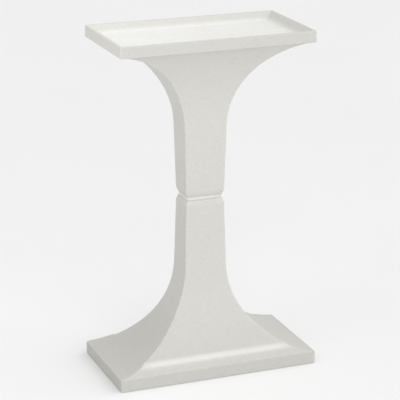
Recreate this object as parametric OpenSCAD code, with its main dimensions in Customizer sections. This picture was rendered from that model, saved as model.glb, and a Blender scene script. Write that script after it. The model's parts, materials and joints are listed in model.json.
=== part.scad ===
// Pedestal bird bath in cast stone: a shallow oblong basin on a waisted stem, made as two castings
// that are dowelled and bedded together at the waist. Millimetres, Z up. The origin is the middle
// of the plinth's underside, X runs along the basin and Y across it.

/* [Overall] */
// Height from the ground to the rim
overall_h = 760; // [630:5:920]
// Height of the middle of the joint at the waist
joint_z = 389; // [320:1:470]
// Radius of the upright corners of the basin and the plinth
corner_r = 2.5; // [1:0.5:5]

/* [Basin] */
// Length of the basin
tray_l = 440; // [365:1:530]
// Width of the basin
tray_w = 238; // [196:1:288]
// Height of the basin's upright edge
tray_edge = 25.5; // [24:0.5:34]
// Width of the flat rim
rim = 5; // [4:0.5:12]
// Distance from the outside of the basin to its floor
floor_inset = 27; // [18:1:40]
// Depth of the basin below the rim
basin_depth = 16; // [10:0.5:20]

/* [Plinth] */
// Length of the plinth
plinth_l = 460; // [380:1:560]
// Width of the plinth
plinth_w = 244; // [200:1:300]
// Height of the plinth's upright edge
plinth_edge = 28; // [24:0.5:36]
// Width of the sloping shoulder along the front and the back
shoulder_run = 28; // [16:1:36]
// Height of that shoulder above the upright edge
shoulder_rise = 19.5; // [10:0.5:24]

/* [Stem] */
// Length of the stem's section at the waist
waist_l = 90; // [84:1:120]
// Width of the stem's section at the waist
waist_w = 66; // [55:1:100]
// Growth of each end face, per millimetre away from the waist
taper_l = 0.025; // [0:0.005:0.03]
// Growth of the front and back faces, per millimetre away from the waist
taper_w = 0.03; // [0:0.005:0.04]
// Height of the curved flare at the ends of the lower stem, above the plinth's edge
lower_flare_l = 208; // [170:1:240]
// Height of the curved flare at the front and back of the lower stem, above the shoulder
lower_flare_w = 152; // [100:1:200]
// Height of the curved flare at the ends of the upper stem, below the basin's edge
upper_flare_l = 188; // [150:1:196]
// Height of the curved flare at the front and back of the upper stem
upper_flare_w = 158; // [100:1:190]
// Flat strip left under the basin, along its front and back edges
soffit_flat = 9.5; // [1:0.5:14]

/* [Waist joint] */
// Thickness of the mortar bed
bed_t = 9; // [5:0.5:14]
// Distance that the mortar is raked back from the stone
bed_recess = 5.5; // [4.5:0.5:8]
// Height over which each casting eases in towards the joint
ease_h = 16; // [6:1:20]
// Depth of that easing at the joint
ease_d = 4; // [1:0.5:4.5]
// Diameter of the dowel
dowel_d = 12; // [8:1:16]
// Length of the dowel
dowel_l = 150; // [110:5:190]
// Diameter of the grouted sockets
socket_d = 24; // [20:1:28]
// Room left in each socket past the dowel's end
socket_spare = 10; // [4:1:20]

/* [Reinforcement] */
// Diameter of the stem bars
bar_d = 6; // [5:0.5:8]
// Least stone over the links and round the bars' legs
cover = 10; // [8:1:12]
// Inside radius of the bends in the bars
bar_bend = 15; // [10:1:20]
// Clear distance from a bar's end to the joint
bar_end_gap = 24; // [15:1:30]
// Height of the lower legs above the ground
lower_leg_z = 32; // [30:1:36]
// Depth of the upper legs below the basin's floor
upper_leg_drop = 22; // [20:1:30]
// Diameter of the links round the bars
link_d = 4; // [3:0.5:5]
// Gap between the bars and the links, where tying wire goes
tie_gap = 0.5; // [0.3:0.1:1]
// Links in each casting
links = 3; // [2:1:5]
// Diameter of the mesh wires
wire_d = 3; // [2.5:0.5:4]
// Spacing of the mesh wires
wire_pitch = 50; // [40:5:80]
// Distance from the mesh to the outside of the slab
mesh_edge = 34; // [28:1:50]
// Stone over the basin's mesh, and the least that lies under its ends
mesh_cover = 6; // [5:0.5:8]
// Height of the plinth's mesh above the ground
plinth_mesh_z = 14; // [10:1:18]

/* [Hidden] */
$fn = 96;
arc_fn = 240;
stone = "#e3e1db";
mortar = "#d3d0c8";
steel = "#a7abb0";
rust = "#8a7f78";
cut = 20;

// Flat left between the outer end of a flare and the corner beyond it
land = 0.5;
// The circles of the arcs are this much bigger, so that they cross the straight lines they leave
bite = 0.02;

ease_r = (ease_h*ease_h + ease_d*ease_d)/(2*ease_d);
bed_bottom = joint_z - bed_t/2;
bed_top = joint_z + bed_t/2;
basin_floor = overall_h - basin_depth;
soffit = overall_h - tray_edge;

// Bars stand inside the links, which keep the cover at the waist
link_x = waist_l/2 - cover - link_d/2;
link_y = waist_w/2 - cover - link_d/2;
bar_x = link_x - (link_d + bar_d)/2 - tie_gap;
bar_y = link_y - (link_d + bar_d)/2 - tie_gap;
weld = 0.6;
upper_leg_z = basin_floor - upper_leg_drop;
socket_depth = dowel_l/2 - bed_t/2 + socket_spare;

// The legs and the basin's mesh end where the flare leaves enough stone round them
upper_reach = upper_flare_x(upper_leg_z - bar_d/2 - cover);
lower_reach = lower_flare_x(lower_leg_z + bar_d/2 + cover);
basin_mesh_z = basin_floor - mesh_cover - wire_d/2;
basin_mesh_under = basin_mesh_z - 3*wire_d/2 + weld - mesh_cover;
basin_mesh_l = 2*min(tray_l/2 - mesh_edge, upper_flare_x(basin_mesh_under));

// Where the bars are straight, which is where links can go
upper_link_from = bed_top + bar_end_gap + 2*link_d;
lower_link_from = bed_bottom - bar_end_gap - 2*link_d;
upper_link_step = (upper_leg_z - 4*bar_bend - upper_link_from)/links;
lower_link_step = (lower_link_from - lower_leg_z - 4*bar_bend)/links;

CORNERS = [[1, 1], [-1, 1], [-1, -1], [1, -1]];
LINKS = [for (i = [1:links]) i];
function named(stem, many) = [for (i = [1:many]) str(stem, i)];

// ---- outlines -------------------------------------------------------------------------------

// Half size of the stem where its flare starts
function flare_start(half, taper, flare, height) = half + taper*(height - flare - ease_h);

// Radius of the arc that leaves a line leaning by tilt at [0, 0] and ends at [out, down]
function flare_r(out, down, tilt) = norm([out, down])/(2*sin(atan2(out, down) - tilt));

// Half size of a flare at the distance s from the joint, with the centre of its arc at [x, y]
function arc_x(x, y, r, s) = x - sqrt(r*r - (s - y)*(s - y));
function flare_x(half, taper, flare, foot_x, height, s) =
    let(start = flare_start(half, taper, flare, height), tilt = atan(taper),
        r = flare_r(foot_x - land - start, flare, tilt))
    arc_x(start + r*cos(tilt), height - flare - r*sin(tilt), r, s);

// The same at a height above the ground, for the ends of the lower and of the upper stem
function lower_flare_x(z) = flare_x(waist_l/2, taper_l, lower_flare_l, plinth_l/2,
                                    bed_bottom - plinth_edge, bed_bottom - z);
function upper_flare_x(z) = flare_x(waist_l/2, taper_l, upper_flare_l, tray_l/2,
                                    soffit - bed_top, z - bed_top);

// The same points on the other side of the middle line, in the order that closes the outline
function flipped(points) = [for (i = [len(points) - 1:-1:0]) [-points[i][0], points[i][1]]];

module both_sides() {
    children();
    mirror([1, 0]) children();
}

// A casting's outline, growing downwards from the joint: eased edges, a straight taper, then an
// arc over the last flare of its height that runs out to the land before foot_x. slab continues
// the right side below the foot. The flare starts as a block, and the arc's circle is cut away.
module outline(half, taper, flare, foot_x, height, slab) {
    tilt = atan(taper);
    start = flare_start(half, taper, flare, height);
    r = flare_r(foot_x - land - start, flare, tilt);
    right = concat([[half, 0], [half, -ease_h], [start, flare - height],
                    [foot_x, flare - height], [foot_x, -height]], slab);
    difference() {
        polygon(concat(right, flipped(right)));
        both_sides() {
            intersection() {
                translate([start + r*cos(tilt), flare - height + r*sin(tilt)])
                    circle(r + bite, $fn = arc_fn);
                translate([0, -height]) square([2*foot_x, height]);
            }
            difference() {
                translate([half - ease_d, -ease_h]) square([2*ease_d, 2*ease_h]);
                translate([half - ease_r, -ease_h]) circle(ease_r + bite, $fn = arc_fn);
            }
        }
    }
}

// What is cut from each upright corner to round it
module corners(length, width) {
    for (c = CORNERS)
        mirror([c[0] > 0 ? 0 : 1, 0, 0]) mirror([0, c[1] > 0 ? 0 : 1, 0])
            translate([length/2 - corner_r, width/2 - corner_r, -cut])
                linear_extrude(overall_h + 2*cut) difference() {
                    square(cut);
                    circle(corner_r + bite);
                }
}

// The solid whose section at every height is a rectangle: child 0 is its outline seen from the
// front, child 1 its outline seen from the end
module oblong(length, width) {
    intersection() {
        rotate([90, 0, 0]) linear_extrude(width, center = true) children(0);
        rotate([90, 0, 90]) linear_extrude(length, center = true) children(1);
    }
}

module lower_front() {
    translate([0, bed_bottom])
        outline(waist_l/2, taper_l, lower_flare_l, plinth_l/2, bed_bottom - plinth_edge,
                [[plinth_l/2, -bed_bottom]]);
}

module lower_end() {
    crest_y = plinth_w/2 - shoulder_run;
    crest_z = plinth_edge + shoulder_rise;
    translate([0, bed_bottom])
        outline(waist_w/2, taper_w, lower_flare_w, crest_y, bed_bottom - crest_z,
                [[plinth_w/2, plinth_edge - bed_bottom], [plinth_w/2, -bed_bottom]]);
}

module upper_front() {
    translate([0, bed_top]) mirror([0, 1])
        outline(waist_l/2, taper_l, upper_flare_l, tray_l/2, soffit - bed_top,
                [[tray_l/2, bed_top - overall_h]]);
}

module upper_end() {
    translate([0, bed_top]) mirror([0, 1])
        outline(waist_w/2, taper_w, upper_flare_w, tray_w/2 - soffit_flat, soffit - bed_top,
                [[tray_w/2, bed_top - soffit], [tray_w/2, bed_top - overall_h]]);
}

// The basin's hollow from one side: its walls slope from the rim in to the floor
module hollow(size) {
    slope = (floor_inset - rim)/basin_depth;
    top = size/2 - rim;
    right = [[top + slope*cut, overall_h + cut], [top - slope*basin_depth, basin_floor]];
    polygon(concat(right, flipped(right)));
}

// ---- steel ----------------------------------------------------------------------------------

// A round bar along X from the origin
module rod(d, length) {
    rotate([0, 90, 0]) cylinder(d = d, h = length);
}

// A quarter turn of bar that leaves the origin along X and ends heading along Y
module bend(d, r) {
    translate([0, r, 0]) rotate([0, 0, -90]) rotate_extrude(angle = 90) translate([r, 0]) circle(d = d);
}

// A bar along the stem, upright from top, that turns out at leg_z as far as reach
module stem_bar(corner, top, leg_z, reach) {
    side = corner[0];
    turn = bar_bend + bar_d/2;
    up = sign(top - leg_z);
    translate([side*bar_x, corner[1]*bar_y, 0]) {
        translate([0, 0, up > 0 ? leg_z + turn : top])
            cylinder(d = bar_d, h = abs(top - leg_z) - turn);
        translate([side*turn, 0, leg_z]) mirror([side > 0 ? 1 : 0, 0, 0]) {
            rotate([up > 0 ? 90 : -90, 0, 0]) bend(bar_d, turn);
            mirror([1, 0, 0]) rod(bar_d, reach - bar_x - turn);
        }
    }
}

// A closed rectangular link with rounded corners, its middle line link_x by link_y
module link(z) {
    r = (link_d + bar_d)/2 + tie_gap;
    translate([0, 0, z]) {
        for (s = [-1, 1]) {
            translate([r - link_x, s*link_y, 0]) rod(link_d, 2*(link_x - r));
            translate([s*link_x, r - link_y, 0]) rotate([0, 0, 90]) rod(link_d, 2*(link_y - r));
        }
        for (c = CORNERS)
            mirror([c[0] > 0 ? 0 : 1, 0, 0]) mirror([0, c[1] > 0 ? 0 : 1, 0])
                translate([link_x - r, link_y - r, 0])
                    rotate_extrude(angle = 90) translate([r, 0]) circle(d = link_d);
    }
}

// Welded mesh: long wires at z, cross wires below them, sunk into them by the weld
module mesh(long, across, z) {
    rows = floor(across/wire_pitch);
    files = floor(long/wire_pitch);
    for (i = [0:rows])
        translate([-long/2, (i - rows/2)*wire_pitch, z]) rod(wire_d, long);
    for (i = [0:files])
        translate([(i - files/2)*wire_pitch, -across/2, z - wire_d + weld])
            rotate([0, 0, 90]) rod(wire_d, across);
}

// ---- sub-parts ------------------------------------------------------------------------------

module upper_bar(i) {
    color(rust) stem_bar(CORNERS[i - 1], bed_top + bar_end_gap, upper_leg_z, upper_reach);
}

module lower_bar(i) {
    color(rust) stem_bar(CORNERS[i - 1], bed_bottom - bar_end_gap, lower_leg_z, lower_reach);
}

module upper_link(i) {
    color(rust) link(upper_link_from + (i - 1)*upper_link_step);
}

module lower_link(i) {
    color(rust) link(lower_link_from - (i - 1)*lower_link_step);
}

module basin_mesh() {
    color(steel) mesh(basin_mesh_l, tray_w - 2*mesh_edge, basin_mesh_z);
}

module plinth_mesh() {
    color(steel) mesh(plinth_l - 2*mesh_edge, plinth_w - 2*mesh_edge, plinth_mesh_z);
}

module dowel() {
    color(steel) translate([0, 0, joint_z - dowel_l/2]) cylinder(d = dowel_d, h = dowel_l);
}

module upper_grout() {
    color(mortar) difference() {
        translate([0, 0, bed_top]) cylinder(d = socket_d, h = socket_depth);
        dowel();
    }
}

module lower_grout() {
    color(mortar) difference() {
        translate([0, 0, bed_bottom - socket_depth]) cylinder(d = socket_d, h = socket_depth);
        dowel();
    }
}

module mortar_bed() {
    color(mortar) difference() {
        translate([bed_recess - waist_l/2, bed_recess - waist_w/2, bed_bottom])
            cube([waist_l - 2*bed_recess, waist_w - 2*bed_recess, bed_t]);
        dowel();
    }
}

module upper_casting() {
    color(stone) difference() {
        oblong(tray_l, tray_w) {
            upper_front();
            upper_end();
        }
        corners(tray_l, tray_w);
        oblong(tray_l, tray_w) {
            hollow(tray_l);
            hollow(tray_w);
        }
        translate([0, 0, bed_top]) cylinder(d = socket_d, h = socket_depth);
        for (i = [1:4]) upper_bar(i);
        for (i = LINKS) upper_link(i);
        basin_mesh();
    }
}

module lower_casting() {
    color(stone) difference() {
        oblong(plinth_l, plinth_w) {
            lower_front();
            lower_end();
        }
        corners(plinth_l, plinth_w);
        translate([0, 0, bed_bottom - socket_depth]) cylinder(d = socket_d, h = socket_depth);
        for (i = [1:4]) lower_bar(i);
        for (i = LINKS) lower_link(i);
        plinth_mesh();
    }
}

upper_casting();
lower_casting();
mortar_bed();
dowel();
upper_grout();
lower_grout();
for (i = [1:4]) {
    upper_bar(i);
    lower_bar(i);
}
for (i = LINKS) {
    upper_link(i);
    lower_link(i);
}
basin_mesh();
plinth_mesh();
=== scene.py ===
# %% [markdown]
# A pedestal bird bath in cast stone. The real one is two castings: a shallow oblong basin with the
# upper half of the stem, and the lower half of the stem with its plinth. They are bedded on mortar
# and dowelled at the waist. This lesson loads the working model of it, gives each casting the soft
# arrises and slightly uneven faces that stone has from its mould, and makes the finishes from nodes.

# %% Load the frame
import json
import math

import bmesh
import bpy
import numpy as np
from mathutils import Matrix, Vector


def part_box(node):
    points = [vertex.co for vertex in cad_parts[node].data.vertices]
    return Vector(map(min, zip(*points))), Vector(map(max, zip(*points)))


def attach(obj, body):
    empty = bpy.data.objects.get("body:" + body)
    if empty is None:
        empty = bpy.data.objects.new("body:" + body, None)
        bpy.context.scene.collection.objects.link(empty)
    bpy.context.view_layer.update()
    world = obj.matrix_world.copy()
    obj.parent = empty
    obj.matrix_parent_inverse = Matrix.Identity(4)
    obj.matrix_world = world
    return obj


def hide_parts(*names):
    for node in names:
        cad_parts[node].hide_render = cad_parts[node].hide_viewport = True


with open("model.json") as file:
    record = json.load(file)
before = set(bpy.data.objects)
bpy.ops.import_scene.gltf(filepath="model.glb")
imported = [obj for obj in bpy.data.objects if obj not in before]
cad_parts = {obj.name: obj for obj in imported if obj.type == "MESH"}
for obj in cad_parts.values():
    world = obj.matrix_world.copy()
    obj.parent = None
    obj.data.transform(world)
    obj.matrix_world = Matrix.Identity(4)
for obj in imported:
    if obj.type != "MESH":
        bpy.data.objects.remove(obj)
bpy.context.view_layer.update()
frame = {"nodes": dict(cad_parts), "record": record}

# %% [markdown]
# The sizes come from the model, so a changed casting changes the picture too. A box holds a node's
# lowest and highest corners, and the object stands on its middle, so the highest X and Y are half
# the length and half the width. The basin's floor lies inside a box, and is a mount in the record.

# %% Sizes from the model
def high(node, axis):
    """The highest coordinate of a node along an axis, 0 for X, 1 for Y and 2 for Z."""
    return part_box(node)[1][axis]


def low(node, axis):
    """The lowest coordinate of a node along an axis."""
    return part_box(node)[0][axis]


MM = 0.001
TRAY = np.array([high("upper_casting", 0), high("upper_casting", 1)])
PLINTH = np.array([high("lower_casting", 0), high("lower_casting", 1)])
RIM_Z = high("upper_casting", 2)
BED_Z = (low("mortar_bed", 2), high("mortar_bed", 2))
BED = np.array([high("mortar_bed", 0), high("mortar_bed", 1)])
SOCKET_R = high("upper_grout", 0)
DOWEL_R = high("dowel", 0)
FLOOR_Z = next(m["pos_m"][2] for m in frame["record"]["mounts"] if m["name"] == "basin_floor")
print("tray", np.round(TRAY*2, 4), "plinth", np.round(PLINTH*2, 4), "joint", np.round(BED_Z, 4))

# %% [markdown]
# What no box tells, such as how high a flare reaches, is named here as it is in the model. A pair
# holds the size seen from the front and the size seen from the end. The plinth has a sloping
# shoulder over its long edges only, and it rolls over to the edge: the roll is one point that
# stands out from the straight slope.

# %% Sizes of the stem, the slabs and the basin
BED_RECESS = 5.5*MM               # the mortar lies this far behind the stem's faces
WAIST = BED + BED_RECESS          # half the stem's size where its taper starts
EASE_H = 16*MM                    # over this height the stem closes in towards the joint
EASE_D = 4*MM                     # and by this much on each face
TAPER = np.array([0.025, 0.03])   # how much a face leans out for each metre away from the joint
CORNER_R = 2.5*MM                 # upright corners
LOWER_FLARE = (208*MM, 152*MM)    # height of the lower flare's arcs
PLINTH_EDGE = 28*MM               # upright edge of the plinth
SHOULDER_RUN = 28*MM              # the shoulder, inwards from the edge
SHOULDER_RISE = 19.5*MM           # the shoulder, upwards to its crest
ROLL_OUT = 9*MM                   # the roll's point, outwards from the crest
ROLL_DOWN = 3.6*MM                # the roll's point, down from the crest
UPPER_FLARE = (188*MM, 158*MM)    # height of the upper flare's arcs
TRAY_EDGE = 25.5*MM               # upright edge of the basin
SOFFIT_FLAT = 9.5*MM              # the flat under the basin's long edges
RIM = 5*MM                        # width of the rim's top
FLOOR_INSET = 27*MM               # the floor starts this far in from the basin's outside
SOFFIT_Z = RIM_Z - TRAY_EDGE
CREST_Y, CREST_Z = PLINTH[1] - SHOULDER_RUN, PLINTH_EDGE + SHOULDER_RISE
print("waist", np.round(WAIST*2, 4), "basin depth", round(RIM_Z - FLOOR_Z, 4))

# %% [markdown]
# The outline of a casting, seen from the front or from the end, is a line of points: the waist,
# which eases in towards the joint, a straight taper, an arc that leaves the taper smoothly and runs
# out to the foot, and the slab's edge. A sculptor would file the sharp corners of this line, and a
# Bevel modifier would cut them with flats. Here each point is replaced by the average of its
# neighbours, which rounds the corners and leaves the straight stretches where they were.

# %% Soft lines
STEP = 0.25*MM       # distance between the points of an outline
ARRIS = 5*MM         # an arris is softened over this length


def resample(points):
    """The same line with points a step apart: coordinates against the distance walked along it."""
    points = np.asarray(points, float)
    walked = np.r_[0, np.cumsum(np.hypot(*np.diff(points, axis=0).T))]
    even = np.linspace(0, walked[-1], int(walked[-1]/STEP) + 1)
    return np.stack([np.interp(even, walked, points[:, k]) for k in (0, 1)], 1)


def soften(points, width):
    """Every point becomes the weighted average of those within half of width along the line. The
    weights are a raised cosine, so the corner turns evenly. The ends are held by mirroring them."""
    line = resample(points)
    half = max(1, int(width/STEP/2))
    weights = 1 + np.cos(np.linspace(-math.pi, math.pi, 2*half + 1))
    weights /= weights.sum()
    before = 2*line[0] - line[half:0:-1]
    after = 2*line[-1] - line[-2:-half - 2:-1]
    longer = np.concatenate([before, line, after])
    return np.stack([np.convolve(longer[:, k], weights, "valid") for k in (0, 1)], 1)


square = np.array([[0, 0], [0, 4*ARRIS], [4*ARRIS, 4*ARRIS]])
cut_back = np.hypot(*(soften(square, ARRIS) - square[1]).T).min()
print("a square arris is cut back by", round(cut_back/MM, 2), "mm")

# %% [markdown]
# Two outlines make a casting: the one seen from the front gives its length at each height, the one
# seen from the end its width. The rows that carry the surface lie closer where a line bends.

# %% The stem's outlines
EASE_STEPS = 24
ARC_STEPS = 80
HEIGHTS = 6000        # heights at which the outlines are read before the rows are chosen
FACE_STEP = 3.2*MM    # longest step between rows
BEND_STEP = 0.12      # most that a line turns between rows, in radians


def stem_outline(half, taper, flare, foot, height):
    """Points (half size, distance from the joint) of the waist, the taper and the flare's arc. With
    the taper leaning by t, the arc from the start to the foot, which lies out and down from it, has
    radius |(out, down)| / (2 sin(angle of (out, down) - t)), because a chord's angle is the mean of
    the arc's end angles."""
    lean = math.atan(taper)
    start = half + taper*(height - flare - EASE_H)
    out = foot - start
    chord = math.atan2(out, flare)
    radius = math.hypot(out, flare)/(2*math.sin(chord - lean))
    ease_r = (EASE_H**2 + EASE_D**2)/(2*EASE_D)
    along = np.linspace(0, EASE_H, EASE_STEPS)
    ease = np.stack([half - ease_r + np.sqrt(ease_r**2 - (EASE_H - along)**2), along], 1)
    turn = np.linspace(lean, 2*chord - lean, ARC_STEPS)
    arc_x = start + radius*(math.cos(lean) - np.cos(turn))
    arc_s = height - flare + radius*(np.sin(turn) - math.sin(lean))
    return np.concatenate([ease, np.stack([arc_x, arc_s], 1)])


def side_rows(outline_x, outline_y):
    """Rows up the side of a casting as (half length, half width, height). Both outlines rise all
    the way, so each is read at the same heights. A row costs one longest step or one largest bend,
    and the rows are spread so that each costs the same."""
    fine = np.linspace(outline_x[0, 1], outline_x[-1, 1], HEIGHTS)
    wide = np.interp(fine, outline_x[:, 1], outline_x[:, 0])
    deep = np.interp(fine, outline_y[:, 1], outline_y[:, 0])
    bend = np.abs(np.gradient(np.arctan2(np.gradient(wide), np.gradient(fine))))
    bend += np.abs(np.gradient(np.arctan2(np.gradient(deep), np.gradient(fine))))
    walk = np.hypot(np.maximum(abs(np.gradient(wide)), abs(np.gradient(deep))), np.gradient(fine))
    cost = np.r_[0, np.cumsum(walk/FACE_STEP + bend/BEND_STEP)]
    at = np.interp(np.linspace(0, cost[-2], int(cost[-1])), cost[:-1], fine)
    return np.stack([np.interp(at, fine, wide), np.interp(at, fine, deep), at], 1)


def lower_sides():
    """Rows from the foot of the plinth up to the joint. Each outline is turned over, because it is
    measured down from the joint, and starts with the slab's edge and, on the long faces, the roll."""
    top = BED_Z[0]
    front = stem_outline(WAIST[0], TAPER[0], LOWER_FLARE[0], PLINTH[0], top - PLINTH_EDGE)
    end = stem_outline(WAIST[1], TAPER[1], LOWER_FLARE[1], CREST_Y, top - CREST_Z)
    roll = [[PLINTH[1], PLINTH_EDGE], [CREST_Y + ROLL_OUT, CREST_Z - ROLL_DOWN]]
    lines = []
    for outline, edge in ((front, [[PLINTH[0], 0]]), (end, [[PLINTH[1], 0], *roll])):
        up = outline[::-1].copy()
        up[:, 1] = top - up[:, 1]
        lines.append(soften(np.concatenate([edge, up]), ARRIS))
    return side_rows(*lines)


print("rows up the lower casting", len(lower_sides()))

# %% [markdown]
# Both castings are oblongs all the way up, so one surface makes either: its first parameter runs
# round a rounded oblong, its second runs along a list of rows, and each row says how long, how wide
# and how high the oblong is there and how round its corners are. A row can shrink to a circle, for
# the dowel's socket, or to a line, which closes the surface. A subdivided cube with modifiers would
# be quicker to start, but its corners would drift off the true flare.

# %% The oblong surface
def round_plan(long_steps, short_steps, corner_steps):
    """The two parts of every point round an oblong with rounded corners: a point is (half - r)*box
    + r*turn, where box walks round the square from -1 to 1 and turn is the unit vector outwards."""
    box, turn = [], []
    for side in range(4):
        angle = math.radians(90*side)
        steps = long_steps if side % 2 == 0 else short_steps
        outwards = np.array([math.sin(angle), -math.cos(angle)])
        along = np.array([math.cos(angle), math.sin(angle)])
        t = np.linspace(-1, 1, steps + 1)[:-1, None]
        box.append(outwards + t*along)
        turn.append(np.repeat(outwards[None], steps, 0))
        bends = np.linspace(0, math.pi/2, corner_steps + 1)[:-1] + angle
        box.append(np.repeat((outwards + along)[None], corner_steps, 0))
        turn.append(np.stack([np.sin(bends), -np.cos(bends)], 1))
    return np.concatenate(box), np.concatenate(turn)


def oblong_points(rows, plan):
    """Row by row, the points round the oblong: rows holds (half length, half width, height, corner
    radius), and plan comes from round_plan. A radius never passes half the oblong's width."""
    box, turn = plan
    radius = np.minimum(rows[:, 3], rows[:, :2].min(1))[:, None, None]
    flat = (rows[:, None, :2] - radius)*box[None] + radius*turn[None]
    height = np.repeat(rows[:, 2][:, None, None], len(box), 1)
    return np.concatenate([flat, height], 2)


def grid_faces(rows, columns, loop=False):
    """Corner numbers of the quads between neighbouring rows, round and round. With loop, the last
    row joins the first."""
    last = rows if loop else rows - 1
    r, c = np.meshgrid(np.arange(last), np.arange(columns), indexing="ij")
    up, on = (r + 1) % rows, (c + 1) % columns
    return np.stack([r*columns + c, r*columns + on, up*columns + on, up*columns + c], 2).reshape(-1, 4)


PLAN = round_plan(long_steps=96, short_steps=48, corner_steps=7)
print("points round a casting", len(PLAN[0]))

# %% [markdown]
# The arrays become a mesh in one call each. Where a row shrinks to a line or a point, its points
# lie on each other: they are welded, which closes the surface, and the faces left with no area are
# dissolved. The weld also counts the edges that don't have two faces, which should be none.

# %% From arrays to a closed mesh
WELD = 1e-6        # points nearer than this are one point


def make_mesh(name, points, faces, marks=None):
    """A smooth-shaded object at the origin from arrays. marks are point attributes for finishes."""
    mesh = bpy.data.meshes.new(name)
    mesh.from_pydata(points.reshape(-1, 3).tolist(), [], faces.tolist())
    for key, values in (marks or {}).items():
        mesh.attributes.new(key, "FLOAT", "POINT").data.foreach_set("value", values.ravel().astype("f"))
    mesh.shade_smooth()
    piece = bpy.data.objects.new(name, mesh)
    bpy.context.collection.objects.link(piece)
    return piece


def weld(piece):
    """Joins points that lie on each other, drops faces with no area and turns the rest outwards."""
    work = bmesh.new()
    work.from_mesh(piece.data)
    bmesh.ops.remove_doubles(work, verts=work.verts, dist=WELD)
    bmesh.ops.dissolve_degenerate(work, edges=work.edges, dist=WELD)
    bmesh.ops.recalc_face_normals(work, faces=work.faces)
    open_edges = sum(not e.is_manifold for e in work.edges)
    work.to_mesh(piece.data)
    print(piece.name, "faces", len(work.faces), "open edges", open_edges)
    work.free()


# %% [markdown]
# Stone that was rammed into a mould is never quite flat. The surface is pushed in by smooth noise:
# random numbers on a coarse grid of points in space, blended between the grid points. It is at most
# a quarter of a millimetre, which the eye only reads in a raking light. A Displace modifier could do
# the same, but it would also push the joint and the socket, which have to stay true.

# %% Smooth noise in space
NOISE_GRID = 128      # grid points a side, after which the noise repeats
SWELL = 55*MM         # the broad unevenness of a face
RIPPLE = 18*MM        # the finer one on top of it


def smooth_noise(points, size, seed):
    """Noise from -1 to 1: the eight random numbers round each point, blended with the curve
    3t^2 - 2t^3 so that no crease shows. size is the distance between the grid points."""
    spots = points/size + NOISE_GRID//2
    cell = np.floor(spots).astype(int)
    t = spots - cell
    t = t*t*(3 - 2*t)
    values = np.random.default_rng(seed).uniform(-1, 1, (NOISE_GRID, NOISE_GRID, NOISE_GRID))
    total = np.zeros(points.shape[:-1])
    for corner in np.ndindex(2, 2, 2):
        share = np.prod(np.where(corner, t, 1 - t), axis=-1)
        at = (cell + corner) % NOISE_GRID
        total += share*values[at[..., 0], at[..., 1], at[..., 2]]
    return total


def grid_normals(points):
    """Unit normals of a grid of points: the cross product of its two directions, worked out from
    the neighbours on both sides. The columns go all the way round."""
    across = np.roll(points, -1, 1) - np.roll(points, 1, 1)
    up = np.gradient(points, axis=0)
    normal = np.cross(across, up)
    return normal/np.maximum(np.linalg.norm(normal, axis=2, keepdims=True), 1e-12)


def fade(value, start, width):
    """0 up to start, 1 from start + width on, and a straight slope between them."""
    return np.clip((value - start)/width, 0, 1)


print("the ripple repeats after", round(NOISE_GRID*RIPPLE, 2), "m of", round(RIM_Z, 3), "m")

# %% [markdown]
# Three things depend on where a point lies: an arris is rubbed; the basin's floor is painted pale,
# which is painted light where the floor faces the open sky; and the roll of the shoulder carries a
# painted highlight, a pale band along the middle of the long faces. Painting them by hand would not
# follow a changed size. Each is worked out from the surface
# and kept as a number at every point, which the finish reads as an attribute.

# %% Uneven faces and marks
WAVE = 0.2*MM
CALM_NEAR_JOINT = (12*MM, 20*MM)    # no unevenness this near the joint, then a fade over the second
CALM_AT_FOOT = 6*MM
ARRIS_GAIN = 60                     # turns the small difference between normals into 0 to 1
FLOOR_LIGHT_H = 7*MM                       # the painted light on the basin's floor climbs this far up its walls
HIGHLIGHT_DROP = 3*MM                    # the painted highlight band's middle lies this far below the crest
HIGHLIGHT_H = 4.2*MM                     # height over which the band fades
HIGHLIGHT_END = 80*MM                    # from this distance from the plinth's end the band fades
HIGHLIGHT_FADE = 50*MM                   # over this length
HIGHLIGHT_FACING = (0.125, 0.25)         # a fade over the normal's Y, which is 0 on the short faces


def uneven(points, normal, rows, seed):
    """Pushes points in along their normals by 0.6 of the wave and 0.4 of it times the noise. Near
    the joint, at the foot and in the socket, where many columns share a point, nothing moves."""
    calm = fade(np.abs(points[..., 2] - np.mean(BED_Z)), *CALM_NEAR_JOINT)
    calm = calm*fade(points[..., 2], 0, CALM_AT_FOOT)*(rows[:, 0] > SOCKET_R + WELD)[:, None]
    size = smooth_noise(points, SWELL, seed) + 0.5*smooth_noise(points, RIPPLE, seed + 1)
    push = WAVE*calm*(0.6 + 0.4*size)
    print("pushed in by", round(push.min()/MM, 2), "to", round(push.max()/MM, 2), "mm")
    return points - normal*push[..., None]


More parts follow.
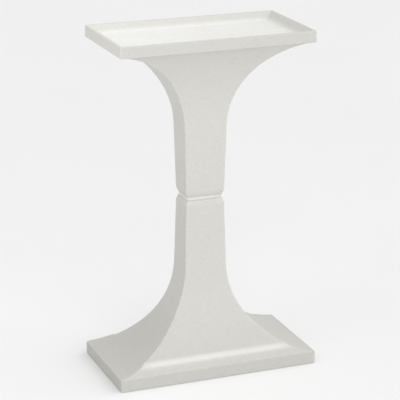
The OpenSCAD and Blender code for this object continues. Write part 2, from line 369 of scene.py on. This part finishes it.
def marks_of(points, normal, rows):
    """Three numbers from 0 to 1 at each point. arris grows with the angle between neighbouring normals.
    The floor mark is 1 on the basin's floor, which is painted pale as painted light. The band mark, a
    painted highlight, is a bell curve of height about the roll, on faces that look to the front or the
    back."""
    turn = 1 - np.abs(np.sum(normal*np.roll(normal, -1, 0), 2))
    turn += 1 - np.abs(np.sum(normal*np.roll(normal, -1, 1), 2))
    x, y, z = np.moveaxis(points, 2, 0)
    # painted light: the basin's floor is painted pale where it faces the sky, fading up the walls
    in_basin = (z > FLOOR_Z - 1*MM)*(rows[:, 1] < TRAY[1] - RIM)[:, None]
    painted_floor_light = (1 - fade(z, FLOOR_Z, FLOOR_LIGHT_H))*in_basin
    # painted highlight: a pale band about the shoulder's roll on the long faces, fading towards the
    # ends
    painted_highlight = np.exp(-((z - (CREST_Z - HIGHLIGHT_DROP))/HIGHLIGHT_H)**2)
    painted_highlight = painted_highlight*(np.abs(y) > CREST_Y - HIGHLIGHT_DROP)*fade(np.abs(normal[..., 1]), *HIGHLIGHT_FACING)
    painted_highlight = painted_highlight*(1 - fade(np.abs(x), PLINTH[0] - HIGHLIGHT_END, HIGHLIGHT_FADE))
    return {"arris": np.clip(turn*ARRIS_GAIN, 0, 1), "painted_floor_light": painted_floor_light, "painted_highlight": painted_highlight}


def casting(name, rows, seed):
    """Builds a casting from its rows: the points, their unevenness, their marks and the mesh."""
    points = oblong_points(rows, PLAN)
    normal = grid_normals(points)
    points = uneven(points, normal, rows, seed)
    piece = make_mesh(name, points, grid_faces(*points.shape[:2]), marks_of(points, normal, rows))
    weld(piece)
    print(name, [round(v/MM, 1) for v in piece.dimensions], "mm")
    return piece


# %% [markdown]
# The lower casting starts at a line in the middle of its underside, goes out to the edge, up the
# slab, over the softened arris and up the flare and the stem, and ends down in the dowel's socket.
# The socket is made although nobody sees it, because the meshes are also used without the picture.

# %% The lower casting
JOINT_R = 5*MM            # corners of the joint's face
WAIST_END = WAIST - EASE_D
NICK = 1.2*MM             # radius of the plinth's bottom edge
UNDER_ROWS = 14
NICK_ROWS = 5
ACROSS_ROWS = 12
DOWN_ROWS = 10
INWARD_ROWS = 6


def inset_rows(edge, line, keep=0.0):
    """Rows that close in from an oblong's edge. line holds (inset, height). The corners keep their
    radius less the inset, but never less than keep."""
    inset = np.minimum(line[:, :1], edge.min())
    corner = np.maximum(CORNER_R - inset, keep)
    return np.concatenate([edge - inset, line[:, 1:], corner], 1)


def rows_of(sides):
    """Side rows with the radius of the upright corners added."""
    return np.concatenate([sides, np.full((len(sides), 1), CORNER_R)], 1)


def socket_rows(edge, face_z, end_z):
    """From the joint's edge across its flat face to the socket's mouth, down the socket's wall and
    in to a point at its end. The oblong turns into a circle as it closes in."""
    share = np.linspace(0, 1, ACROSS_ROWS)[1:, None]
    circle = np.array([SOCKET_R, SOCKET_R, face_z, SOCKET_R])
    across = (1 - share)*np.array([*edge, face_z, JOINT_R]) + share*circle
    down = np.repeat(circle[None], DOWN_ROWS - 1, 0)
    down[:, 2] = np.linspace(face_z, end_z, DOWN_ROWS)[1:]
    inwards = np.linspace(1, 0, INWARD_ROWS)[1:, None]*np.array([SOCKET_R, SOCKET_R, 0, SOCKET_R])
    return np.concatenate([across, down, inwards + np.array([0, 0, end_z, 0])])


def lower_rows():
    """Out along the underside, round the bottom edge by a quarter circle, up the sides and down
    into the socket."""
    sides = lower_sides()
    under = np.stack([np.linspace(PLINTH[1], NICK, UNDER_ROWS), np.zeros(UNDER_ROWS)], 1)
    curl = np.linspace(0, math.pi/2, NICK_ROWS)[1:-1]
    foot = np.stack([NICK*(1 - np.sin(curl)), NICK*(1 - np.cos(curl))], 1)
    bottom = inset_rows(PLINTH, np.concatenate([under, foot]))
    return np.concatenate([bottom, rows_of(sides[sides[:, 2] > NICK]),
                           socket_rows(WAIST_END, BED_Z[0], low("lower_grout", 2))])


lower_stone = casting("lower_stone", lower_rows(), seed=11)

# %% [markdown]
# The upper casting is the same the other way up: from the bottom of its socket out to the joint, up
# the stem and the flare, over the basin's edge and its rim, and down the sloping walls to the floor.
# The walls meet the floor in a soft hollow, because a sharp one would not leave the mould. A boolean
# cut would leave that hollow sharp and its triangles long and thin.

# %% The upper casting
COVE = 9*MM               # radius, about, of the hollow where the walls meet the floor
RIM_SOFT = 3.2*MM         # the rim's arrises are softened over this length
COVE_START = 6*MM         # past the rim by this much the line turns from crisp to hollowed
COVE_FADE = 4*MM          # over this length
SIDE_TOP = RIM_Z - 8*MM   # the side rows end here, and the rows over the rim begin
SOFFIT_LIFT = 0.6*MM      # the flat under the long edges rises this much, so no step is level
BASIN_STEP = 5*MM         # longest step between the basin's rows
BASIN_CORNER = 2.5*MM     # corners of the basin's hollow


def upper_sides():
    """Rows from the joint up to the top of the basin's upright edge."""
    start = BED_Z[1]
    front = stem_outline(WAIST[0], TAPER[0], UPPER_FLARE[0], TRAY[0], SOFFIT_Z - start)
    end = stem_outline(WAIST[1], TAPER[1], UPPER_FLARE[1], TRAY[1] - SOFFIT_FLAT,
                       SOFFIT_Z - SOFFIT_LIFT - start)
    lines = []
    for outline, edge in ((front, [[TRAY[0], RIM_Z]]),
                          (end, [[TRAY[1], SOFFIT_Z], [TRAY[1], RIM_Z]])):
        lines.append(soften(np.concatenate([outline + np.array([0, start]), edge]), ARRIS))
    return side_rows(*lines)


def basin_line():
    """Inset from the basin's outside against height, over the rim and down to the floor. The line
    is softened twice, a little and a lot, and turns from the first to the second past the rim."""
    corners = np.array([[0, SIDE_TOP], [0, RIM_Z], [RIM, RIM_Z], [FLOOR_INSET, FLOOR_Z],
                        [TRAY[1], FLOOR_Z]])
    crisp = soften(corners, RIM_SOFT)
    hollowed = soften(corners, 2*COVE)
    share = fade(resample(corners)[:, :1], RIM + COVE_START, COVE_FADE)
    return (1 - share)*crisp + share*hollowed


def thin_out(line):
    """Keeps the points of a line where it bends and drops most of those where it is straight: a
    point is kept for each basin step walked or bend step turned."""
    d = np.diff(line, axis=0)
    walk = np.hypot(d[:, 0], d[:, 1])/BASIN_STEP
    turn = np.abs(np.diff(np.unwrap(np.arctan2(d[:, 1], d[:, 0]))))/BEND_STEP
    cost = np.r_[0, np.cumsum(walk + np.r_[0, turn])]
    at = np.linspace(0, cost[-1], int(cost[-1]) + 1)
    return np.stack([np.interp(at, cost, line[:, k]) for k in (0, 1)], 1)


def upper_rows():
    """The socket turned over, the sides, and the rows over the rim and across the floor."""
    sides = upper_sides()
    joint = socket_rows(WAIST_END, BED_Z[1], high("upper_grout", 2))[::-1]
    line = thin_out(basin_line())
    top = inset_rows(TRAY, line[line[:, 1] > sides[0, 2]], keep=BASIN_CORNER)
    return np.concatenate([joint, rows_of(sides[sides[:, 2] < SIDE_TOP]), top])


upper_stone = casting("upper_stone", upper_rows(), seed=23)

# %% [markdown]
# The mortar in the joint was raked back and struck with a tool, so its face is a shallow band that
# turns in sharply above and below, where it meets the stone. It is a ring round the dowel: the same
# surface with its last row joined to its first. Only the tooled face is uneven.

# %% The mortar
SHRINK = 0.2*MM        # the mortar drew back this much at its edges
BULGE = 1.6*MM         # how far the band stands out between them
FLATNESS = 8           # a high power keeps the band flat and turns it sharply at its edges
TOOL_MARK = 0.1*MM     # depth of the marks that the tool left
TOOL_STEP = 6*MM       # distance between them
RING_ROWS = 14
BAND_ROWS = 24


def bed_rows():
    """Out along the underside, up the tooled face, which stands out by bulge*(1 - |2u - 1|^8) at
    the share u of its height, and back along the top to the dowel's hole."""
    bottom, top = BED_Z
    share = np.linspace(0, 1, RING_ROWS)[:, None]
    inner = np.array([DOWEL_R, DOWEL_R, DOWEL_R])
    outer = np.array([*BED - SHRINK, JOINT_R])
    out = (1 - share)*inner + share*outer
    under = np.concatenate([out[:, :2], np.full((RING_ROWS, 1), bottom), out[:, 2:]], 1)
    over = np.concatenate([out[::-1, :2], np.full((RING_ROWS, 1), top), out[::-1, 2:]], 1)
    up = np.linspace(0, 1, BAND_ROWS + 2)[1:-1, None]
    bulge = BULGE*(1 - np.abs(2*up - 1)**FLATNESS)
    face = np.concatenate([outer[:2] + bulge, bottom + up*(top - bottom), np.full_like(up, JOINT_R)], 1)
    return np.concatenate([under, face, over])


ring = bed_rows()
bed_points = oblong_points(ring, round_plan(long_steps=40, short_steps=30, corner_steps=6))
tooled = ((ring[:, 2] > BED_Z[0]) & (ring[:, 2] < BED_Z[1]))[:, None]
marks = TOOL_MARK*tooled*smooth_noise(bed_points, TOOL_STEP, seed=5)
bed_points += grid_normals(bed_points)*marks[..., None]
mortar = make_mesh("mortar_joint", bed_points, grid_faces(*bed_points.shape[:2], loop=True))
weld(mortar)

# %% [markdown]
# Finishes are node trees. A tree written link by link is hard to read, so one small class wraps an
# output socket and lets ordinary arithmetic add the Math nodes.

# %% Shader maths
class Wire:
    """An output socket. Arithmetic between wires and numbers adds Math nodes to its tree."""

    def __init__(self, finish, socket):
        self.finish = finish
        self.socket = socket

    def maths(self, operation, a, b):
        return self.finish.node("Math", {"operation": operation}, {0: a, 1: b})

    def __add__(self, other):
        return self.maths("ADD", self, other)

    def __rsub__(self, other):
        return self.maths("SUBTRACT", other, self)

    def __mul__(self, other):
        return self.maths("MULTIPLY", self, other)

    def over(self, limit):
        return self.maths("GREATER_THAN", self, limit)

    __radd__ = __add__
    __rmul__ = __mul__


# %% [markdown]
# A second class holds one material. Its node method adds any node that isn't arithmetic, and the
# few that every finish needs have names of their own. Patterns are made in the object's own
# coordinates, so they need no unwrapping and don't stretch.

# %% A finish and its nodes
class Finish:
    """A material and its tree. finish.node adds a node: its type, then its settings, then the
    values or wires of its inputs. It returns a wire on the output that is named."""

    def __init__(self, name):
        self.material = bpy.data.materials.new(name)
        self.material.use_nodes = True
        self.tree = self.material.node_tree
        self.shader = self.tree.nodes["Principled BSDF"]
        self.place = self.node("TexCoord", {}, {}, "Object")

    def node(self, kind, settings, inputs, output=0):
        node = self.tree.nodes.new("ShaderNode" + kind)
        for key, value in settings.items():
            setattr(node, key, value)
        self.join(node, inputs)
        return Wire(self, node.outputs[output])

    def join(self, node, inputs):
        """Links the inputs that are wires and sets the others."""
        for key, value in inputs.items():
            if isinstance(value, Wire):
                self.tree.links.new(value.socket, node.inputs[key])
            else:
                node.inputs[key].default_value = value

    def noise(self, size, detail, roughness, place=None):
        """Smooth noise from 0 to 1 with features about size metres across."""
        return self.node("TexNoise", {}, {"Vector": place or self.place, "Scale": 1/size,
                                          "Detail": detail, "Roughness": roughness}, "Fac")

    def cells(self, size):
        """Distance to the nearest of scattered points, and a random number for each of them."""
        near = self.node("TexVoronoi", {}, {"Vector": self.place, "Scale": 1/size}, "Distance")
        colour = Wire(self, near.socket.node.outputs["Color"])
        return near, self.node("SeparateColor", {}, {0: colour}, "Red")

    def mark(self, name):
        """A number that the mesh keeps at each point."""
        return self.node("Attribute", {"attribute_name": name}, {}, "Fac")

    def ramp(self, wire, start, end):
        """A smooth step: 0 below start, 1 above end."""
        return self.node("MapRange", {"interpolation_type": "SMOOTHSTEP"},
                         {"Value": wire, "From Min": start, "From Max": end})

    def mix(self, share, a, b):
        """One colour shading into another. share is a wire from 0 to 1."""
        return self.node("Mix", {"data_type": "RGBA"}, {0: share, 6: a, 7: b}, 2)

    def bump(self, height, depth, below=None):
        """A normal from a height in 0 to 1, where 1 stands depth metres proud."""
        inputs = {"Height": height, "Distance": depth, "Strength": 1.0}
        if below:
            inputs["Normal"] = below
        return self.node("Bump", {}, inputs)

    def surface(self, **inputs):
        """Sets the shader's inputs, with spaces written as underscores."""
        self.join(self.shader, {key.replace("_", " "): value for key, value in inputs.items()})
        print(self.material.name, "nodes", len(self.tree.nodes))
        return self.material


def rgb(red, green, blue):
    """An opaque colour from its parts, in linear light."""
    return (red, green, blue, 1.0)


# %% [markdown]
# Cast stone is fine crushed limestone in white cement. Close up it is a skin of sand grains, some
# darker, with pinholes where air stayed against the mould, which are darkened by painted shade, a
# cloudy change of tone from one batch of the mix to the next, and arrises that are rubbed a little
# paler. The foot is darkened by painted shade, the upper stem is lightened by painted light, the
# basin's floor is painted pale as painted light, the shoulder's roll carries a painted highlight, and
# the basin's edge is greyer than the stem below it. A flat picture of stone wrapped round the shape
# would stretch on the flares. Noise in space does not.

# %% Cast stone
# The foot tone is painted shade, darker towards the floor, and the top tone is painted light, paler up
# the stem.
SHADED_FOOT_TO_BODY = (0.02, 0.20)      # heights between which one tone turns into the next
BODY_TO_LIT_TOP = (0.30, 0.66)
TOP_TO_EDGE = (SOFFIT_Z - 10.5*MM, SOFFIT_Z + 2.5*MM)
# foot is painted shade and top painted light; the basin floor's pale tone is painted light, the
# shoulder's pale band a painted highlight, and the pinholes' dark tone painted shade.
TONES = {"foot": rgb(0.520, 0.514, 0.482), "body": rgb(0.615, 0.609, 0.574),
         "top": rgb(0.654, 0.648, 0.610), "edge": rgb(0.604, 0.598, 0.561),
         "painted_floor_light": rgb(0.79, 0.79, 0.765), "painted_highlight": rgb(0.76, 0.755, 0.725),
         "cloud": rgb(0.50, 0.49, 0.45), "dark grain": rgb(0.33, 0.305, 0.255),
         "pale sand": rgb(0.76, 0.75, 0.72), "rubbed": rgb(0.76, 0.755, 0.73),
         "shaded_pinhole": rgb(0.30, 0.28, 0.25)}


def stone_tone(stone):
    """The slow changes of tone by height: a foot darkened as painted shade, the body, a top lightened
    as painted light, and the basin's edge; then the basin's floor painted pale as painted light and the
    band about the shoulder's roll painted pale as a painted highlight."""
    height = stone.node("SeparateXYZ", {}, {0: stone.place}, "Z")
    # painted shade: the foot is darker towards the floor
    colour = stone.mix(stone.ramp(height, *SHADED_FOOT_TO_BODY), TONES["foot"], TONES["body"])
    # painted light: the upper stem and the basin are paler
    colour = stone.mix(stone.ramp(height, *BODY_TO_LIT_TOP), colour, TONES["top"])
    colour = stone.mix(stone.ramp(height, *TOP_TO_EDGE), colour, TONES["edge"])
    # painted light: the basin's floor is paler
    colour = stone.mix(stone.mark("painted_floor_light"), colour, TONES["painted_floor_light"])
    # painted highlight: a pale band along the shoulder's roll
    return stone.mix(stone.mark("painted_highlight")*0.85, colour, TONES["painted_highlight"])


def cast_stone():
    """Slow tones, with painted light and shade among them, then clouds, dark grains, pale sand, rubbed
    arrises and pinholes darkened by painted shade, in the order in which each lies over the last. The
    same sand, blotches and pinholes make the bump."""
    stone = Finish("cast_stone")
    colour = stone_tone(stone)

    clouds = stone.noise(60*MM, 3.0, 0.6)
    blotches = stone.noise(12*MM, 2.0, 0.5)
    cloudy = stone.ramp(clouds*0.5 + blotches*0.5, 0.30, 0.70)
    colour = stone.mix(cloudy*0.10, colour, TONES["cloud"])

    near, chance = stone.cells(3.2*MM)
    grain = (1 - stone.ramp(near, 0.12, 0.42))*chance.over(0.55)
    colour = stone.mix(grain*0.34, colour, TONES["dark grain"])
    sand = stone.noise(1.6*MM, 3.0, 0.7)
    colour = stone.mix(stone.ramp(sand, 0.35, 0.68)*0.30, colour, TONES["pale sand"])

    rubbed = stone.mark("arris")*0.30*stone.ramp(blotches, 0.4, 0.6)
    colour = stone.mix(rubbed, colour, TONES["rubbed"])
    # painted shade: each pinhole is darkened in place of the shade inside it; the bump below makes the
    # hole itself
    air, luck = stone.cells(9*MM)
    shaded_pinhole = (1 - stone.ramp(air, 0.03, 0.085))*luck.over(0.55)
    colour = stone.mix(shaded_pinhole*0.5, colour, TONES["shaded_pinhole"])

    skin = stone.bump(sand, 0.35*MM)
    skin = stone.bump(blotches, 0.4*MM, skin)
    skin = stone.bump(1 - shaded_pinhole, 0.6*MM, skin)
    return stone.surface(Base_Color=colour, Roughness=0.80 + 0.14*sand, Normal=skin,
                         Specular_IOR_Level=0.35)


stone_finish = cast_stone()

# %% [markdown]
# The mortar is the same cement with finer sand. It was struck smooth, so its grain is closer and
# its tone a little greyer where the tool dragged water to the face. The grout inside has coarser
# sand and ordinary grey cement. One function makes both, because only their numbers differ.

# %% Mortar and grout
def cement(name, pale, deep, grit):
    """A deep and a pale tone blended by slow noise and by the sand, whose size is grit."""
    blend = Finish(name)
    tone = blend.noise(20*MM, 3.0, 0.6)
    sand = blend.noise(grit, 2.0, 0.6)
    colour = blend.mix(blend.ramp(tone*0.7 + sand*0.3, 0.35, 0.65), deep, pale)
    return blend.surface(Base_Color=colour, Roughness=0.82 + 0.12*tone, Specular_IOR_Level=0.35,
                         Normal=blend.bump(sand, 0.3*MM))


mortar_finish = cement("mortar", rgb(0.74, 0.73, 0.69), rgb(0.66, 0.65, 0.61), 0.9*MM)
grout_finish = cement("grout", rgb(0.52, 0.51, 0.48), rgb(0.42, 0.41, 0.39), 1.6*MM)

# %% [markdown]
# Three kinds of steel lie inside the stone: the drawn stainless dowel, galvanised mesh with its
# spangle, and plain bars and links with mill scale that has begun to rust. The dowel's drawing
# lines are noise that is stretched fifty times along it.

# %% Steels
def dowel_steel():
    """Bright metal with fine lines along Z in its tone, its roughness and its surface."""
    steel = Finish("stainless_steel")
    stretched = steel.node("Mapping", {}, {"Vector": steel.place, "Scale": (1.0, 1.0, 0.02)})
    drawn = steel.noise(0.6*MM, 2.0, 0.5, stretched)
    colour = steel.mix(drawn, rgb(0.58, 0.58, 0.59), rgb(0.70, 0.70, 0.71))
    return steel.surface(Base_Color=colour, Metallic=1.0, Roughness=0.24 + 0.16*drawn,
                         Normal=steel.bump(drawn, 0.04*MM))


def zinc_wire():
    """Grey metal whose spangles, 4 mm across, each have a tone of their own."""
    zinc = Finish("galvanised_wire")
    near, spangle = zinc.cells(4*MM)
    bloom = zinc.noise(20*MM, 3.0, 0.6)
    colour = zinc.mix(spangle*0.7 + bloom*0.3, rgb(0.48, 0.50, 0.52), rgb(0.66, 0.68, 0.69))
    return zinc.surface(Base_Color=colour, Metallic=0.9, Roughness=0.38 + 0.2*bloom,
                        Normal=zinc.bump(near, 0.05*MM))


def mill_scale():
    """Blue-black scale that gives way to brown rust, which is rougher and not metallic."""
    scale = Finish("bar_steel")
    rust = scale.ramp(scale.noise(12*MM, 4.0, 0.65), 0.46, 0.62)
    flake = scale.noise(1.4*MM, 3.0, 0.6)
    colour = scale.mix(rust, rgb(0.07, 0.07, 0.075), rgb(0.26, 0.11, 0.05))
    return scale.surface(Base_Color=scale.mix(flake*0.4, colour, rgb(0.16, 0.12, 0.10)),
                         Metallic=0.75 - 0.7*rust, Roughness=0.5 + 0.4*rust,
                         Normal=scale.bump(flake, 0.12*MM))


STEELS = {"stainless_steel": dowel_steel(), "galvanised_wire": zinc_wire(), "bar_steel": mill_scale()}

# %% [markdown]
# Each finish goes on its piece. The three shapes made here stand for their nodes in the model and
# ride on its only body. The dowel, grout and steel keep the model's own shapes, because rods and
# wires need nothing more than a finish.

# %% Dress the pieces
def dress(piece, finish):
    """Gives a piece one finish in place of what it had."""
    piece.data.materials.clear()
    piece.data.materials.append(finish)


for piece, node, finish, slot in (
        (upper_stone, "upper_casting", stone_finish, "cast_stone"),
        (lower_stone, "lower_casting", stone_finish, "cast_stone"),
        (mortar, "mortar_bed", mortar_finish, "mortar")):
    dress(piece, finish)
    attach(piece, "root")
    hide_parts(node)

finishes = {"grout": grout_finish, **STEELS}
slot_of = {part["node"]: part["material_slot"] for part in frame["record"]["subparts"]}
for node, piece in frame["nodes"].items():
    if slot_of[node] in finishes:
        dress(piece, finishes[slot_of[node]])
print("dressed", sum(slot in finishes for slot in slot_of.values()), "inner pieces")

# %% [markdown]
# The studio has a wide flat floor of pale grey, a hair below the plinth so that the two don't
# share a plane. A curved backdrop would also do, but a floor this wide fills the camera's view.

# %% Floor
FLOOR_HALF = 30.0
FLOOR_DROP = 0.2*MM


def studio_floor():
    """One square, wide enough to fill the view from above, with a very slight change of tone."""
    floor = Finish("studio_floor")
    tone = floor.noise(0.5, 2.0, 0.5)
    colour = floor.mix(tone, rgb(0.84, 0.84, 0.84), rgb(0.86, 0.86, 0.86))
    material = floor.surface(Base_Color=colour, Roughness=0.9, Specular_IOR_Level=0.1)
    corners = np.array([[-1, -1, 0], [1, -1, 0], [1, 1, 0], [-1, 1, 0]])*FLOOR_HALF
    piece = make_mesh("studio_floor", corners - np.array([0, 0, FLOOR_DROP]), np.array([[0, 1, 2, 3]]))
    dress(piece, material)


studio_floor()

# %% [markdown]
# Pale stone shows its shape only by small differences of tone, so the lights are many and soft. A
# white world fills every shadow. Three wide softboxes stand far off, overhead, in front and on the
# right, and the left faces fall a little darker than the rest. A small one stands near on the left,
# above the rim, aimed at the upper half of the stem, so that it lifts that and leaves the foot dark.

# %% Light
WORLD_STRENGTH = 0.56
LAMP_DISTANCE = 3       # where a far lamp is drawn, which changes nothing in its light


def away_from(azimuth, elevation):
    """The unit vector towards a lamp. Azimuth 0 is the front, at -Y, and 90 is the right, at +X."""
    turn, lift = math.radians(azimuth), math.radians(elevation)
    return np.array([math.sin(turn)*math.cos(lift), -math.cos(turn)*math.cos(lift), math.sin(lift)])


def place_facing(thing, position, back):
    """Puts a lamp or a camera at a position, looking along -back with its top upwards."""
    side = np.cross([0, 0, 1], back)
    side = side/np.linalg.norm(side)
    up = np.cross(back, side)
    turned = Matrix(np.stack([side, up, back], 1).tolist()).to_4x4()
    thing.matrix_world = Matrix.Translation(position.tolist()) @ turned


def add_lamp(name, kind, settings, position, back):
    """Makes a lamp of a kind with its settings, and turns it to look along -back."""
    data = bpy.data.lights.new(name, kind)
    for key, value in settings.items():
        setattr(data, key, value)
    lamp = bpy.data.objects.new(name, data)
    bpy.context.collection.objects.link(lamp)
    place_facing(lamp, position, back)
    print("lamp", name, settings)


def far_light(name, azimuth, elevation, spread, strength):
    """Light from a wide softbox far away: the same everywhere, with shadows as soft as its spread."""
    back = away_from(azimuth, elevation)
    add_lamp(name, "SUN", {"angle": math.radians(spread), "energy": strength},
             LAMP_DISTANCE*back, back)


def near_light(name, azimuth, elevation, distance, size, watts, aim):
    """A square softbox close by, so that what is near it is lit more than what is far."""
    back = away_from(azimuth, elevation)
    add_lamp(name, "AREA", {"shape": "SQUARE", "size": size, "energy": watts},
             np.array(aim) + back*distance, back)


far_light("overhead", azimuth=0, elevation=89, spread=80, strength=0.55)
far_light("front", azimuth=0, elevation=20, spread=60, strength=0.95)
far_light("right", azimuth=80, elevation=35, spread=60, strength=1.05)
near_light("near_left", azimuth=-75, elevation=35, distance=1.0, size=0.7, watts=2.2, aim=(0, 0, 0.55))

world = bpy.data.worlds.new("studio")
bpy.context.scene.world = world
world.use_nodes = True
background = world.node_tree.nodes["Background"]
background.inputs["Color"].default_value = (1.0, 1.0, 1.0, 1.0)
background.inputs["Strength"].default_value = WORLD_STRENGTH
bpy.context.scene.view_settings.view_transform = "Standard"

# %% [markdown]
# The camera stands back and to the left with a long lens, which keeps the upright lines nearly
# parallel. It looks slightly down, so that the basin's floor shows, and aims just under the middle
# of the stem.

# %% Camera
AZIMUTH = -21.37
ELEVATION = 17.65
CAMERA_DISTANCE = 3.832
AIM = np.array([0, 0, 0.3746])
FOCAL_LENGTH = 156.8
SENSOR_WIDTH = 36

lens = bpy.data.cameras.new("camera")
lens.lens = FOCAL_LENGTH
lens.sensor_width = SENSOR_WIDTH
camera = bpy.data.objects.new("camera", lens)
bpy.context.collection.objects.link(camera)
view = away_from(AZIMUTH, ELEVATION)
place_facing(camera, AIM + view*CAMERA_DISTANCE, view)
bpy.context.scene.camera = camera
print("camera at", np.round(AIM + view*CAMERA_DISTANCE, 3))
